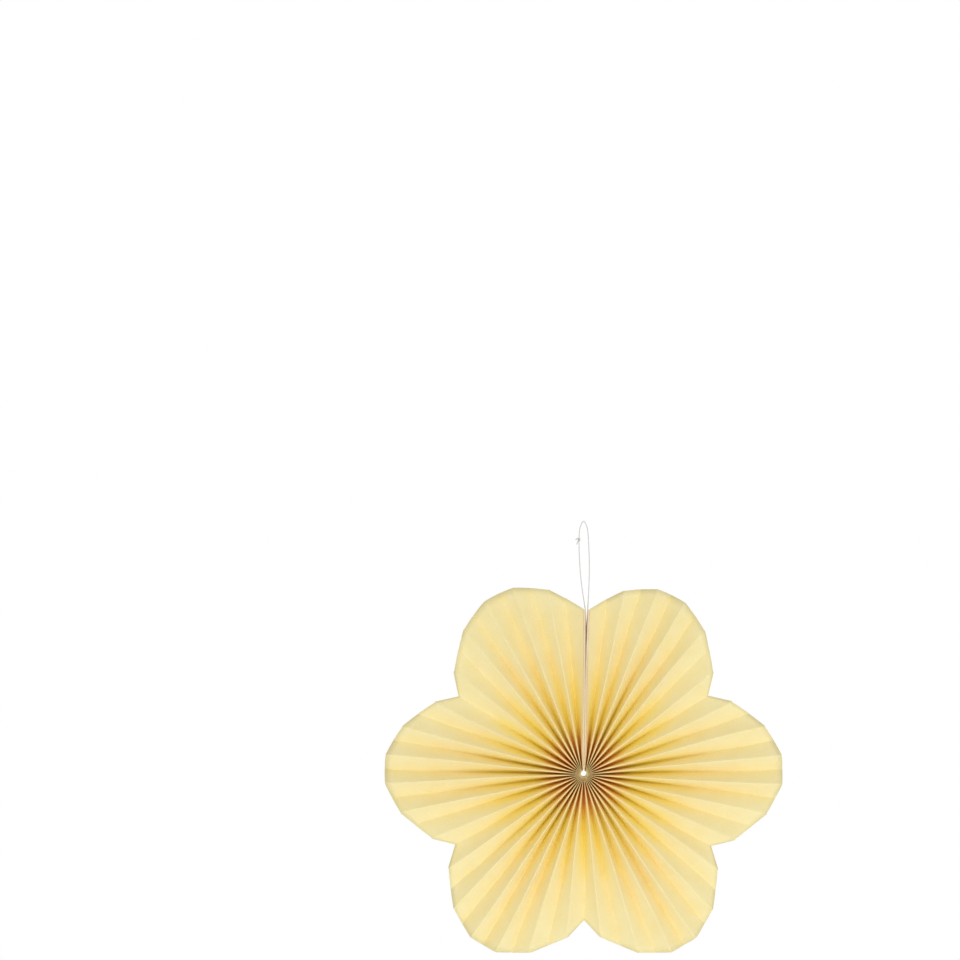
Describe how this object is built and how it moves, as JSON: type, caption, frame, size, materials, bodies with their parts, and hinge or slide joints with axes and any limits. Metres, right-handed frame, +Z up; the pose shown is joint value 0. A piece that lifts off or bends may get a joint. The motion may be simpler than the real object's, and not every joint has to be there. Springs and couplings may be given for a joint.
{
  "type": "paper fan rosette",
  "caption": "Hanging paper fan rosette: a pleated strip with scalloped edge opened into a flower outline, taped along one seam and gathered at its centre by a twine loop.",
  "frame": {"origin": "where a hook bears on the inside of the hanging loop, straight above the flower's centre", "axes": "+Z up along the hanging line, -Y is the front face, +X to the right as seen from the front"},
  "size_m": [0.32, 0.0152, 0.3481],
  "materials": {
    "yellow_paper": "uncoated, matte",
    "raw_card": "cut edge, matte",
    "double_sided_tape": "satin",
    "cotton_twine": "twisted, matte"
  },
  "bodies": {
    "root": {"pleated_paper": "yellow_paper", "right_end_board": "raw_card", "left_end_board": "raw_card", "seam_tape": "double_sided_tape", "hanging_string": "cotton_twine", "loop_knot": "cotton_twine"}
  },
  "joints": []
}
